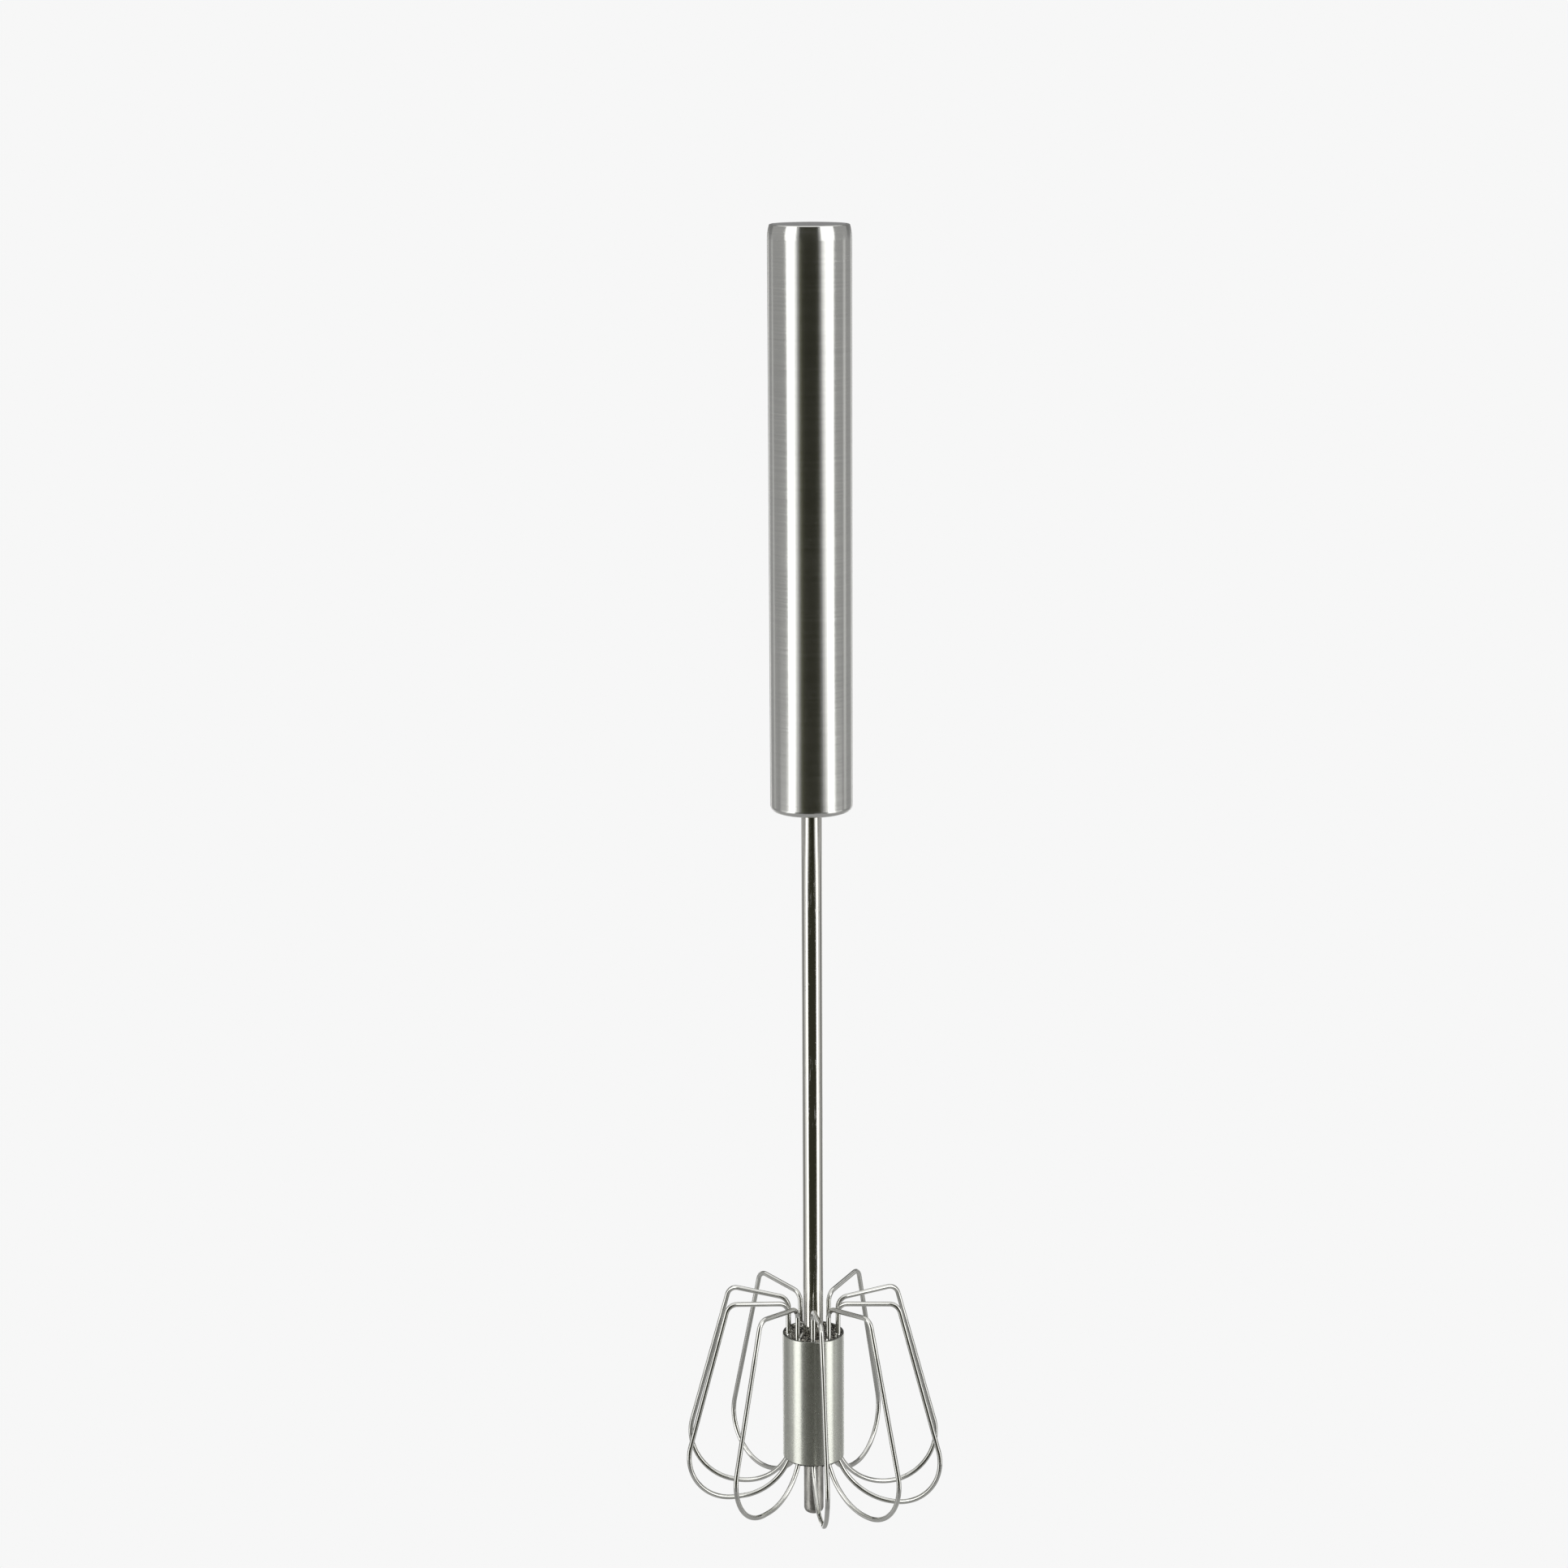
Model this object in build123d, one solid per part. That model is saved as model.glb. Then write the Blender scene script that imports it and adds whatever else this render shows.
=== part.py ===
"""Push-down rotary egg beater.

A straight steel handle slides down over a thin steel shaft. Inside the handle a twisted
flat strip runs through a slotted nut on top of the shaft, so that the whisk head turns as
the handle is pushed down, and turns back as the return spring lifts the handle again.

Frame: millimetres, +Z up along the shaft, origin on the axis at the middle of the handle.
Azimuths are turned about +Z from the -Y direction. One STEP file is written per piece.
"""

from build123d import *
from math import cos, pi, radians, sin, tan
import os

# ---- driving dimensions -------------------------------------------------------------
HANDLE_LENGTH = 141.0
HANDLE_RADIUS = 10.0
SHAFT_RADIUS = 2.5
SHAFT_BORE_RADIUS = 2.0
EXPOSED_SHAFT = 134.5       # bare shaft between the handle and the whisk head
SLEEVE_LENGTH = 33.0
SLEEVE_RADIUS = 7.7
FOOT_LENGTH = 15.5          # shaft and nose below the whisk head
STROKE = 65.0               # how far the handle is pushed down
STRIP_LEAD = 32.5           # length of strip for one whole twist, right-handed
WIRE_RADIUS = 0.6

# ---- handle -------------------------------------------------------------------------
HANDLE_WALL = 0.6
HANDLE_BOTTOM = -HANDLE_LENGTH / 2
HANDLE_TOP = HANDLE_LENGTH / 2
BOTTOM_CORNER = 1.5         # radius of the tube's turned-in lower corner
SHOULDER_HEIGHT = 3.4       # the tube's upper end is rolled in over this height
SHOULDER_INSET = 0.5
RIM_CORNER = 0.3
NOSE_HOLE_RADIUS = 4.0

TUBE_BORE = HANDLE_RADIUS - HANDLE_WALL
RIM_RADIUS = HANDLE_RADIUS - SHOULDER_INSET

CAP_GAP = 0.05
CAP_RADIUS = RIM_RADIUS - HANDLE_WALL - CAP_GAP
CAP_THICKNESS = 0.8
CAP_SKIRT = 4.0
CAP_EDGE = 0.2

# ---- pieces held fast in the handle ----------------------------------------------------
PLUG_RADIUS = TUBE_BORE - 0.1
PLUG_LENGTH = 12.0
PLUG_TOP = HANDLE_TOP - CAP_SKIRT - 0.5
PLUG_BOTTOM = PLUG_TOP - PLUG_LENGTH
PIN_RADIUS = 1.0
PIN_LENGTH = 16.0
PIN_CLEARANCE = 0.02
PIN_HEIGHT = PLUG_TOP - 6.0

STRIP_WIDTH = 3.5
STRIP_THICKNESS = 1.0
SLOT_CLEARANCE = 0.15       # all round the strip, in the nut
TAB_CLEARANCE = 0.05        # all round the strip's flat tab, in the anchor plug
TAB_TOP = PLUG_TOP - 1.0

BUSH_BOTTOM = HANDLE_BOTTOM + HANDLE_WALL
BUSH_LENGTH = 14.0
BUSH_TOP = BUSH_BOTTOM + BUSH_LENGTH
BUSH_BORE = SHAFT_RADIUS + 0.05
BUSH_LEAD_IN = 0.5
BUSH_NOSE_RADIUS = NOSE_HOLE_RADIUS - 0.1
BUFFER_RADIUS = 7.0
BUFFER_THICKNESS = 1.5

# ---- driven end of the shaft, inside the handle ----------------------------------------
RUNNING_GAP = 0.05          # between faces that turn against each other
NUT_BOTTOM = BUSH_TOP + BUFFER_THICKNESS + RUNNING_GAP
NUT_FLANGE_RADIUS = TUBE_BORE - 0.2
NUT_FLANGE = 3.0
NUT_RADIUS = 6.0
NUT_SOCKET = 10.0           # depth of the socket that holds the shaft
NUT_HEAD = 4.0              # thickness of the slotted end
SHAFT_TOP = NUT_BOTTOM + NUT_SOCKET
NUT_TOP = SHAFT_TOP + NUT_HEAD
NUT_PIN_RADIUS = 0.75
NUT_PIN_INNER = SHAFT_BORE_RADIUS + 0.1
NUT_PIN_HEIGHT = NUT_BOTTOM + 6.5

WASHER_RADIUS = 7.5
WASHER_BORE = 2.8
WASHER_THICKNESS = 0.8
WASHER_BOTTOM = NUT_TOP + RUNNING_GAP
WASHER_TOP = WASHER_BOTTOM + WASHER_THICKNESS

SPRING_COILS = 24
SPRING_MEAN_RADIUS = 6.0
SPRING_WIRE_RADIUS = 0.5
STRIP_BOTTOM = SHAFT_TOP - 8.0

# ---- whisk head ------------------------------------------------------------------------
SLEEVE_TOP = HANDLE_BOTTOM - EXPOSED_SHAFT
SLEEVE_BOTTOM = SLEEVE_TOP - SLEEVE_LENGTH
SLEEVE_WALL = 0.5
SLEEVE_EDGE = 0.2
FOOT_BOTTOM = SLEEVE_BOTTOM - FOOT_LENGTH
NOSE_LENGTH = 4.0
NOSE_CORNER = 1.4
NOSE_STEM = 6.0
HUB_RADIUS = 6.9
HUB_RECESS_TOP = 1.6
HUB_RECESS_BOTTOM = 2.0
GROOVE_CLEARANCE = 0.02
WIRE_CIRCLE = 6.55          # radius of the circle that the wire ends stand on

# Each wire loop lies in a plane through its own two ends. Its corners are (radius, height
# above the foot's lowest point), and LOOP_BENDS are the bend radii at the inner corners.
LEG_LEAN = 15.6             # lean of the loop's outer leg, in degrees from upright
TOP_RUN_START = 56.6
SHOULDER = (22.1, 58.2)
ENTRY_LEAN = 28.0           # lean of the wire where it enters the head from below
ENTRY_HEIGHT = 15.0
UPPER_BEND = 2.6
SHOULDER_BEND = 2.6
OUTER_BEND = 11.8
INNER_BEND_RATIO = 1.6      # inner bend's radius as a share of its height over the lowest point
ENTRY_BEND = 3.0
UPPER_END = 33.0            # where the wire's upper and lower ends stop inside the head
LOWER_END = 30.0
# Ten loops stand round the head, 36 degrees apart but for one that is set a little off.
# Hand-bent loops differ a little: each is swung about its own ends by so many degrees, and
# its lowest point lies at its own height above the foot.
LOOP_AZIMUTHS = [-1, 35, 71, 107, 143, 179, 209, 251, 287, 323]
LOOP_SWINGS = [8, 5, 2, 2, 7, 4, 12, 2, 0, 1]
LOOP_BOTTOMS = [6.4, 5.7, 5.4, 5.4, 5.6, 5.4, 5.3, 6.1, 6.8, 6.6]


def tube(outer, inner, bottom, top):
    """A plain tube about the Z axis, or a solid rod where inner is 0."""
    middle = Pos(0, 0, (bottom + top) / 2)
    body = middle * Cylinder(outer, top - bottom)
    if inner > 0:
        body -= middle * Cylinder(inner, top - bottom)
    return body


def edges_at(shape, height, radius):
    """The round edges of a turned piece at one height and radius."""
    circles = shape.edges().filter_by(GeomType.CIRCLE)
    return circles.filter_by(
        lambda e: abs(e.center().Z - height) < 0.01 and abs(e.radius - radius) < 0.01
    )


def cross_pin(radius, length, height):
    """A rod along Y through the axis."""
    return Pos(0, 0, height) * Rot(90, 0, 0) * Cylinder(radius, length)


def strip_angle(z):
    """How far the strip has twisted at a height, counted from the anchor plug."""
    return 360.0 * (z - PLUG_BOTTOM) / STRIP_LEAD


def twisted_prism(width, thickness, bottom, top):
    """A flat bar about the axis that twists with the strip's lead between two heights."""
    section = Plane.XY.offset(bottom) * Rot(0, 0, strip_angle(bottom)) * Rectangle(width, thickness)
    turned = Solid.extrude_linear_with_rotation(
        section.face(), (0, 0, bottom), (0, 0, top - bottom), strip_angle(top) - strip_angle(bottom)
    )
    return Part() + turned


# ---- handle pieces ---------------------------------------------------------------------
def handle_tube():
    """Drawn tube with a turned-in lower end, a hole for the bush and a rolled-in upper rim."""
    r, wall, low = HANDLE_RADIUS, HANDLE_WALL, HANDLE_BOTTOM
    shoulder = HANDLE_TOP - SHOULDER_HEIGHT
    corner = BOTTOM_CORNER
    inner_corner = corner - wall
    outer_mid = (r - corner + corner * sin(pi / 4), low + corner - corner * cos(pi / 4))
    inner_mid = (r - corner + inner_corner * sin(pi / 4), low + corner - inner_corner * cos(pi / 4))
    with BuildPart() as part:
        with BuildSketch(Plane.XZ):
            with BuildLine():
                Line((NOSE_HOLE_RADIUS, low), (r - corner, low))
                ThreePointArc((r - corner, low), outer_mid, (r, low + corner))
                Line((r, low + corner), (r, shoulder))
                TangentArc((r, shoulder), (RIM_RADIUS, HANDLE_TOP), tangent=(0, 1))
                Line((RIM_RADIUS, HANDLE_TOP), (RIM_RADIUS - wall, HANDLE_TOP))
                TangentArc((r - wall, shoulder), (RIM_RADIUS - wall, HANDLE_TOP), tangent=(0, 1))
                Line((r - wall, shoulder), (r - wall, low + corner))
                ThreePointArc((r - wall, low + corner), inner_mid, (r - corner, low + wall))
                Line((r - corner, low + wall), (NOSE_HOLE_RADIUS, low + wall))
                Line((NOSE_HOLE_RADIUS, low + wall), (NOSE_HOLE_RADIUS, low))
            make_face()
        revolve(axis=Axis.Z)
    return fillet(edges_at(part.part, HANDLE_TOP, RIM_RADIUS), RIM_CORNER)


def top_cap():
    """Pressed lid with a short skirt, set into the handle's upper rim."""
    lid = tube(CAP_RADIUS, 0, HANDLE_TOP - CAP_SKIRT, HANDLE_TOP)
    lid -= tube(CAP_RADIUS - CAP_THICKNESS, 0, HANDLE_TOP - CAP_SKIRT, HANDLE_TOP - CAP_THICKNESS)
    return fillet(edges_at(lid, HANDLE_TOP, CAP_RADIUS), CAP_EDGE)


def anchor_plug():
    """Plug under the cap that holds the strip's flat tab and its cross pin."""
    plug = tube(PLUG_RADIUS, 0, PLUG_BOTTOM, PLUG_TOP)
    slot_width = STRIP_WIDTH + 2 * TAB_CLEARANCE
    slot_thickness = STRIP_THICKNESS + 2 * TAB_CLEARANCE
    plug -= Pos(0, 0, (PLUG_BOTTOM + PLUG_TOP) / 2) * Box(slot_width, slot_thickness, PLUG_LENGTH)
    return plug - cross_pin(PIN_RADIUS + PIN_CLEARANCE, 2 * PLUG_RADIUS, PIN_HEIGHT)


def anchor_pin():
    """Cross pin through the anchor plug and the strip's tab."""
    return cross_pin(PIN_RADIUS, PIN_LENGTH, PIN_HEIGHT)


def spiral_strip():
    """Twisted flat strip with a flat, drilled tab at its upper end."""
    tab_height = TAB_TOP - PLUG_BOTTOM
    tab = Pos(0, 0, PLUG_BOTTOM + tab_height / 2) * Box(STRIP_WIDTH, STRIP_THICKNESS, tab_height)
    tab -= cross_pin(PIN_RADIUS + PIN_CLEARANCE, 2 * STRIP_WIDTH, PIN_HEIGHT)
    return twisted_prism(STRIP_WIDTH, STRIP_THICKNESS, STRIP_BOTTOM, PLUG_BOTTOM) + tab


def guide_bush():
    """Bearing for the shaft in the handle's lower end, with a nose that fills the tube's hole."""
    bush = tube(PLUG_RADIUS, BUSH_BORE, BUSH_BOTTOM, BUSH_TOP)
    corner = BOTTOM_CORNER - HANDLE_WALL + 0.2
    bush = chamfer(edges_at(bush, BUSH_BOTTOM, PLUG_RADIUS), corner)
    bush += tube(BUSH_NOSE_RADIUS, BUSH_BORE, HANDLE_BOTTOM, BUSH_BOTTOM)
    return chamfer(edges_at(bush, BUSH_TOP, BUSH_BORE), BUSH_LEAD_IN)


def buffer_ring():
    """Soft ring on the bush that the nut comes to rest on."""
    return tube(BUFFER_RADIUS, SHAFT_RADIUS + 0.4, BUSH_TOP, BUSH_TOP + BUFFER_THICKNESS)


def return_spring():
    """Compression spring between the thrust washer and the anchor plug, at rest."""
    length = PLUG_BOTTOM - WASHER_TOP - 2 * SPRING_WIRE_RADIUS - 2 * RUNNING_GAP
    start = WASHER_TOP + SPRING_WIRE_RADIUS + RUNNING_GAP
    coil = Helix(length / SPRING_COILS, length, SPRING_MEAN_RADIUS)
    section = Plane(origin=coil @ 0, z_dir=coil % 0) * Circle(SPRING_WIRE_RADIUS)
    return Pos(0, 0, start) * sweep(section, path=coil, is_frenet=True)


# ---- driven pieces ---------------------------------------------------------------------
def thrust_washer():
    """Washer between the spring, which doesn't turn, and the nut, which does."""
    return tube(WASHER_RADIUS, WASHER_BORE, WASHER_BOTTOM, WASHER_TOP)


def nut_pin(side, clearance=0.0):
    """Short pin that locks the nut to one side of the shaft, clear of the shaft's bore."""
    reach = NUT_RADIUS - NUT_PIN_INNER
    middle = side * (NUT_PIN_INNER + reach / 2)
    return Pos(0, middle, NUT_PIN_HEIGHT) * Rot(90, 0, 0) * Cylinder(NUT_PIN_RADIUS + clearance, reach)


def drive_nut():
    """Nut on top of the shaft, with a guide flange and a helical slot for the strip."""
    nut = tube(NUT_RADIUS, 0, NUT_BOTTOM, NUT_TOP)
    nut += tube(NUT_FLANGE_RADIUS, 0, NUT_BOTTOM, NUT_BOTTOM + NUT_FLANGE)
    nut -= tube(SHAFT_RADIUS, 0, NUT_BOTTOM, SHAFT_TOP)
    overrun = 0.5
    nut -= twisted_prism(
        STRIP_WIDTH + 2 * SLOT_CLEARANCE,
        STRIP_THICKNESS + 2 * SLOT_CLEARANCE,
        SHAFT_TOP - overrun,
        NUT_TOP + overrun,
    )
    return nut - nut_pin(-1, PIN_CLEARANCE) - nut_pin(1, PIN_CLEARANCE)


def shaft_tube():
    """Thin tube that carries the whisk head and slides up into the handle."""
    tubing = tube(SHAFT_RADIUS, SHAFT_BORE_RADIUS, FOOT_BOTTOM + NOSE_LENGTH, SHAFT_TOP)
    return tubing - nut_pin(-1, PIN_CLEARANCE) - nut_pin(1, PIN_CLEARANCE)


def foot_plug():
    """Rounded nose that closes the shaft and turns on the bottom of the bowl."""
    nose = tube(SHAFT_RADIUS, 0, FOOT_BOTTOM, FOOT_BOTTOM + NOSE_LENGTH)
    nose = fillet(edges_at(nose, FOOT_BOTTOM, SHAFT_RADIUS), NOSE_CORNER)
    top = FOOT_BOTTOM + NOSE_LENGTH
    return nose + tube(SHAFT_BORE_RADIUS, 0, top, top + NOSE_STEM)


# ---- whisk head pieces -----------------------------------------------------------------
def head_sleeve():
    """Brushed sleeve round the wire ends."""
    sleeve = tube(SLEEVE_RADIUS, SLEEVE_RADIUS - SLEEVE_WALL, SLEEVE_BOTTOM, SLEEVE_TOP)
    rims = edges_at(sleeve, SLEEVE_TOP, SLEEVE_RADIUS) + edges_at(sleeve, SLEEVE_BOTTOM, SLEEVE_RADIUS)
    return fillet(rims, SLEEVE_EDGE)


def wire_hub():
    """Core on the shaft with one groove for each loop's two ends."""
    bottom = SLEEVE_BOTTOM + HUB_RECESS_BOTTOM
    top = SLEEVE_TOP - HUB_RECESS_TOP
    hub = tube(HUB_RADIUS, SHAFT_RADIUS, bottom, top)
    groove = Pos(0, -WIRE_CIRCLE, 0) * tube(WIRE_RADIUS + GROOVE_CLEARANCE, 0, bottom, top)
    for azimuth in LOOP_AZIMUTHS:
        hub -= Rot(0, 0, azimuth) * groove
    return hub


def loop_path(lowest):
    """Centreline of one loop in the XZ plane, with its two ends on the Z axis."""
    shoulder_r, shoulder_z = SHOULDER
    outer_r = shoulder_r + (shoulder_z - lowest) * tan(radians(LEG_LEAN))
    inner_r = WIRE_CIRCLE + (ENTRY_HEIGHT - lowest) * tan(radians(ENTRY_LEAN))
    corners = [
        (WIRE_CIRCLE, UPPER_END),
        (WIRE_CIRCLE, TOP_RUN_START),
        (shoulder_r, shoulder_z),
        (outer_r, lowest),
        (inner_r, lowest),
        (WIRE_CIRCLE, ENTRY_HEIGHT),
        (WIRE_CIRCLE, LOWER_END),
    ]
    points = [(r - WIRE_CIRCLE, 0, FOOT_BOTTOM + z) for r, z in corners]
    inner_bend = INNER_BEND_RATIO * (ENTRY_HEIGHT - lowest)
    bends = [UPPER_BEND, SHOULDER_BEND, OUTER_BEND, inner_bend, ENTRY_BEND]
    return FilletPolyline(*points, radius=bends)


def wire_loop(index):
    """One wire loop, swung about its own ends and set in its groove."""
    path = loop_path(LOOP_BOTTOMS[index])
    section = Plane(origin=path @ 0, z_dir=path % 0) * Circle(WIRE_RADIUS)
    loop = sweep(section, path=path)
    outward = Rot(0, 0, -90 + LOOP_SWINGS[index]) * loop
    return Rot(0, 0, LOOP_AZIMUTHS[index]) * Pos(0, -WIRE_CIRCLE, 0) * outward


def main():
    """Builds every piece and writes one STEP file for each."""
    pieces = {
        "handle_tube": handle_tube(),
        "top_cap": top_cap(),
        "anchor_plug": anchor_plug(),
        "anchor_pin": anchor_pin(),
        "spiral_strip": spiral_strip(),
        "guide_bush": guide_bush(),
        "buffer_ring": buffer_ring(),
        "return_spring": return_spring(),
        "thrust_washer": thrust_washer(),
        "drive_nut": drive_nut(),
        "nut_pin_front": nut_pin(-1),
        "nut_pin_back": nut_pin(1),
        "shaft_tube": shaft_tube(),
        "foot_plug": foot_plug(),
        "head_sleeve": head_sleeve(),
        "wire_hub": wire_hub(),
    }
    for index in range(len(LOOP_AZIMUTHS)):
        pieces[f"wire_loop_{index + 1:02d}"] = wire_loop(index)
    os.makedirs("parts", exist_ok=True)
    for name, shape in pieces.items():
        export_step(shape, f"parts/{name}.step")


main()
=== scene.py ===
"""Looks for the push-down egg beater.

Gives every CAD node its finish, winds the return spring, models what
fills the head sleeve's two mouths (the rough solder, the beads round the wires and the binding
wire's ends), and sets up the studio.
Sizes are in metres in the CAD frame: +Z up the shaft, and -Y towards the viewer.
"""

import math

import bmesh
import bpy
from mathutils import Matrix, Vector


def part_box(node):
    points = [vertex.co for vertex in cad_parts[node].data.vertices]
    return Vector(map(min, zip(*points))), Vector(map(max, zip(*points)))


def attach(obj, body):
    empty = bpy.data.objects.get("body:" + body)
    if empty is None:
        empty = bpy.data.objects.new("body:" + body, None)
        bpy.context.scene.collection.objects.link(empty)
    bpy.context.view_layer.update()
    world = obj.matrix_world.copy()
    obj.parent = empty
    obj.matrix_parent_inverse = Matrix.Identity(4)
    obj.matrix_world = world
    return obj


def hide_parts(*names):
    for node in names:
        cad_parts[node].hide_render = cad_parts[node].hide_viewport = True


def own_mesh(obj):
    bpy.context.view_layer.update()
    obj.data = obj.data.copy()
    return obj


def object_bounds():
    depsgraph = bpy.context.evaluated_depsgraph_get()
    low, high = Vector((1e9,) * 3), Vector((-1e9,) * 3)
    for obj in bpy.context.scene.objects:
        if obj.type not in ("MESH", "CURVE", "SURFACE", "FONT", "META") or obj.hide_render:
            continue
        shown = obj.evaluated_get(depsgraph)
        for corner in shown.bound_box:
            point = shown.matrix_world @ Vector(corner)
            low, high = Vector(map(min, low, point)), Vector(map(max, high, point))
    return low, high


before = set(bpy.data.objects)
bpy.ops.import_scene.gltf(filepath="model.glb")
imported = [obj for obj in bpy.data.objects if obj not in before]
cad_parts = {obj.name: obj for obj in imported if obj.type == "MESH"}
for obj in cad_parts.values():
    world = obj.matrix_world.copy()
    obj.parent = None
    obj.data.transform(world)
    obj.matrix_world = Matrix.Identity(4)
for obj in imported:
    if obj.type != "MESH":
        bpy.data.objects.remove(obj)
CAD_LOW, CAD_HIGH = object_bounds()

bl_info = {
    "name": "Push-down Egg Beater",
    "version": (1, 0, 0),
    "blender": (4, 5, 0),
    "location": "3D View > Sidebar > Egg Beater",
    "description": "Finishes, head details and studio for a push-down egg beater",
    "category": "Object",
}

MM = 0.001
LOOP_COUNT = 10
WHITE = (1.0, 1.0, 1.0, 1.0)
OLIVE = (1.0, 1.0, 0.65, 1.0)
DARK_LEVEL = 0.15  # panels no brighter than this are olive

HANDLE_LOW, HANDLE_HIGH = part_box("handle_tube")
SLEEVE_LOW, SLEEVE_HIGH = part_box("head_sleeve")
HUB_LOW, HUB_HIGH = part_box("wire_hub")
SPRING_LOW, SPRING_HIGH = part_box("return_spring")
FOOT_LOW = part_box("foot_plug")[0]
SLEEVE_RADIUS = SLEEVE_HIGH.x
SHAFT_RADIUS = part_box("shaft_tube")[1].x


# ---- sizes and colours that a user would change ------------------------------------------
class BeaterFinishes(bpy.types.PropertyGroup):
    """Colours of the egg beater's materials."""

    handle_steel: bpy.props.FloatVectorProperty(
        name="Handle Steel", description="Colour of the brushed handle",
        subtype="COLOR", size=3, min=0, max=1, default=(0.60, 0.60, 0.575),
    )
    sleeve_steel: bpy.props.FloatVectorProperty(
        name="Sleeve Steel", description="Colour of the satin head sleeve",
        subtype="COLOR", size=3, min=0, max=1, default=(0.575, 0.585, 0.53),
    )
    shaft_steel: bpy.props.FloatVectorProperty(
        name="Shaft Steel", description="Colour of the polished shaft and its foot",
        subtype="COLOR", size=3, min=0, max=1, default=(0.56, 0.55, 0.51),
    )
    wire_steel: bpy.props.FloatVectorProperty(
        name="Wire Steel", description="Colour of the polished wire loops",
        subtype="COLOR", size=3, min=0, max=1, default=(0.64, 0.64, 0.605),
    )
    drawn_steel: bpy.props.FloatVectorProperty(
        name="Drawn Steel", description="Colour of the spring, strip, pins and washer",
        subtype="COLOR", size=3, min=0, max=1, default=(0.46, 0.46, 0.45),
    )
    core: bpy.props.FloatVectorProperty(
        name="Core", description="Colour of the dark core and the solder on it",
        subtype="COLOR", size=3, min=0, max=1, default=(0.13, 0.125, 0.11),
    )
    nylon: bpy.props.FloatVectorProperty(
        name="Nylon", description="Colour of the bush, nut and plug",
        subtype="COLOR", size=3, min=0, max=1, default=(0.78, 0.76, 0.69),
    )
    rubber: bpy.props.FloatVectorProperty(
        name="Rubber", description="Colour of the buffer ring",
        subtype="COLOR", size=3, min=0, max=1, default=(0.022, 0.022, 0.021),
    )


class BeaterSizes(bpy.types.PropertyGroup):
    """Sizes of the details that are modelled here."""

    sleeve_wall: bpy.props.FloatProperty(
        name="Sleeve Wall", description="Thickness of the head sleeve",
        unit="LENGTH", default=0.5 * MM, min=0.2 * MM, max=1.0 * MM, precision=5,
    )
    spring_coils: bpy.props.IntProperty(
        name="Spring Coils", description="Number of turns of the return spring",
        default=24, min=8, max=30,
    )
    spring_wire_radius: bpy.props.FloatProperty(
        name="Spring Wire Radius", description="Radius of the return spring's wire",
        unit="LENGTH", default=0.5 * MM, min=0.3 * MM, max=0.6 * MM, precision=5,
    )
    fill_thickness: bpy.props.FloatProperty(
        name="Fill Thickness", description="Thickness of the solder on the core's upper end",
        unit="LENGTH", default=1.25 * MM, min=0.3 * MM, max=1.5 * MM, precision=5,
    )
    fill_below: bpy.props.FloatProperty(
        name="Fill Below", description="Thickness of the solder on the core's lower end",
        unit="LENGTH", default=2.15 * MM, min=0.3 * MM, max=2.4 * MM, precision=5,
    )
    fill_lumps: bpy.props.FloatProperty(
        name="Fill Lumps", description="Height of the lumps in the solder",
        unit="LENGTH", default=0.8 * MM, min=0, max=1.2 * MM, precision=5,
    )
    bead_radius: bpy.props.FloatProperty(
        name="Bead Radius", description="Radius of the solder bead at a wire's foot",
        unit="LENGTH", default=1.2 * MM, min=0.7 * MM, max=1.4 * MM, precision=5,
    )
    bead_height: bpy.props.FloatProperty(
        name="Bead Height", description="Height of a solder bead, most of it above the fill",
        unit="LENGTH", default=1.3 * MM, min=0.4 * MM, max=2.0 * MM, precision=5,
    )
    bead_neck: bpy.props.FloatProperty(
        name="Bead Neck", description="Radius of a bead's top, a little more than the wire's",
        unit="LENGTH", default=0.62 * MM, min=0.6 * MM, max=1.0 * MM, precision=5,
    )
    bead_depth: bpy.props.FloatProperty(
        name="Bead Depth", description="How far a bead's base is sunk in the fill",
        unit="LENGTH", default=0.4 * MM, min=0.1 * MM, max=1.0 * MM, precision=5,
    )
    binding_radius: bpy.props.FloatProperty(
        name="Binding Wire Radius", description="Radius of the binding wire's loose ends",
        unit="LENGTH", default=0.26 * MM, min=0.2 * MM, max=0.5 * MM, precision=5,
    )


class BeaterStudio(bpy.types.PropertyGroup):
    """The studio around the egg beater."""

    backdrop: bpy.props.FloatProperty(
        name="Backdrop Level", description="Brightness of the floor and the surroundings",
        subtype="FACTOR", default=0.93, min=0, max=1,
    )
    floor_drop: bpy.props.FloatProperty(
        name="Floor Drop", description="Distance of the floor below the foot",
        unit="LENGTH", default=0.8, min=0.0, max=2.0,
    )
    panel_distance: bpy.props.FloatProperty(
        name="Panel Distance", description="Distance of the light and dark panels",
        unit="LENGTH", default=1.25, min=0.9, max=3.0,
    )
    lens: bpy.props.FloatProperty(
        name="Lens", description="Focal length of the camera in millimetres",
        default=79.0, min=20, max=200,
    )
    camera_place: bpy.props.FloatVectorProperty(
        name="Camera Place", description="Place of the camera, with its height above the foot",
        subtype="XYZ", unit="LENGTH", size=3, default=(-6.65 * MM, -0.817, 0.3669),
    )
    camera_pitch: bpy.props.FloatProperty(
        name="Camera Pitch", description="How far the camera looks down",
        subtype="ANGLE", default=math.radians(12.25), min=0, max=math.radians(80),
    )
    camera_lean: bpy.props.FloatProperty(
        name="Camera Lean", description="How far the camera is turned about its line of sight",
        subtype="ANGLE", default=math.radians(-0.3), min=-0.2, max=0.2,
    )


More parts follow.
